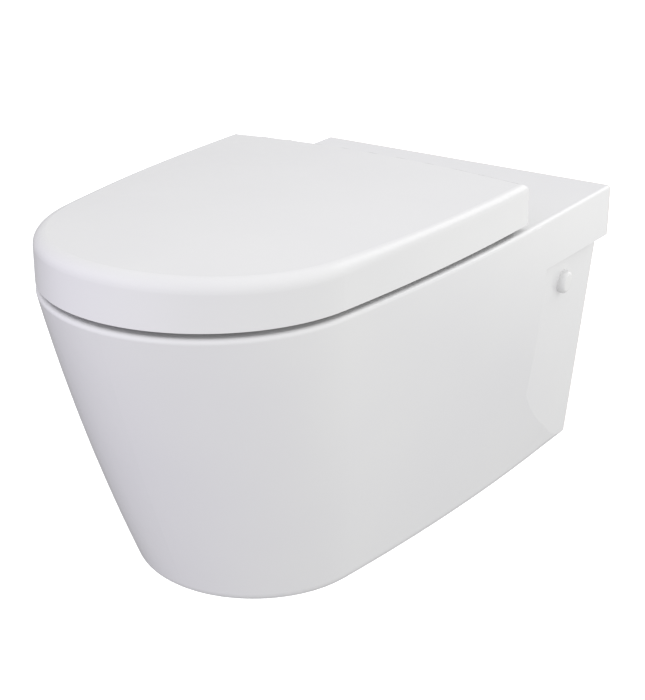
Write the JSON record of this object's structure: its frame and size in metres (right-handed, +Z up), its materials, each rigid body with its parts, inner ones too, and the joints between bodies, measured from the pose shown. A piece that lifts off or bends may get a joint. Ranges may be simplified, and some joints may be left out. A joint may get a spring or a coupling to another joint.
{
  "type": "wall-hung toilet",
  "caption": "Wall-hung ceramic toilet pan with a tapering skirt, hinged ring seat and wrap-over lid, flushed and drained through the wall by a concealed cistern.",
  "frame": {"origin": "on the wall plane, halfway between the two wall studs", "axes": "+X to the right seen from the front, +Y into the wall, +Z up"},
  "size_m": [0.3806, 0.656, 0.3758],
  "materials": {
    "pan": "glossy vitreous glaze",
    "seat_plastic": "polished moulded thermoset",
    "buffer_rubber": "soft pale grey",
    "hinge_chrome": "polished plating",
    "steel": "zinc plated",
    "plug_rubber": "matte black",
    "nut_brass": "machined",
    "damper_plastic": "moulded",
    "bush_plastic": "moulded",
    "anchor_zinc": "cast and plated",
    "cap_plastic": "moulded, domed"
  },
  "bodies": {
    "pan": {"pan": "pan", "hinge_plate_left": "hinge_chrome", "hinge_plate_right": "hinge_chrome", "hinge_stud_left": "steel", "hinge_stud_right": "steel", "hinge_body_left": "hinge_chrome", "hinge_body_right": "hinge_chrome", "hinge_pin_left": "steel", "hinge_pin_right": "steel", "expansion_plugs": "plug_rubber", "plug_nuts": "nut_brass", "wall_anchor_left": "anchor_zinc", "wall_anchor_right": "anchor_zinc", "anchor_bushes": "bush_plastic", "clamp_screw_left": "steel", "clamp_screw_right": "steel"},
    "seat": {"seat_ring": "seat_plastic", "seat_buffers": "buffer_rubber", "seat_damper": "damper_plastic", "seat_bush": "bush_plastic"},
    "lid": {"lid": "seat_plastic", "lid_buffers": "buffer_rubber", "lid_damper": "damper_plastic", "lid_bush": "bush_plastic"},
    "release_button_left": {"release_button_left": "hinge_chrome"},
    "release_button_right": {"release_button_right": "hinge_chrome"},
    "side_cap_left": {"side_cap_left": "cap_plastic"},
    "side_cap_right": {"side_cap_right": "cap_plastic"}
  },
  "joints": [
    {"name": "seat_hinge", "type": "hinge", "parent": "pan", "child": "seat", "pos_m": [0, -0.213, 0.107], "axis": [-1, 0, 0], "range_deg": [0, 95]},
    {"name": "lid_hinge", "type": "hinge", "parent": "seat", "child": "lid", "pos_m": [0, -0.213, 0.107], "axis": [1, 0, 0], "range_deg": [-100, 0]},
    {"name": "release_left", "type": "slide", "parent": "pan", "child": "release_button_left", "axis": [0, -1, 0], "range_m": [0, 0.002], "stiffness_N_per_m": 800},
    {"name": "release_right", "type": "slide", "parent": "pan", "child": "release_button_right", "axis": [0, -1, 0], "range_m": [0, 0.002], "stiffness_N_per_m": 800},
    {"name": "cap_pull_left", "type": "slide", "parent": "pan", "child": "side_cap_left", "axis": [-0.9932, 0.0582, -0.1005], "range_m": [0, 0.02]},
    {"name": "cap_pull_right", "type": "slide", "parent": "pan", "child": "side_cap_right", "axis": [0.9932, 0.0582, -0.1005], "range_m": [0, 0.02]}
  ]
}
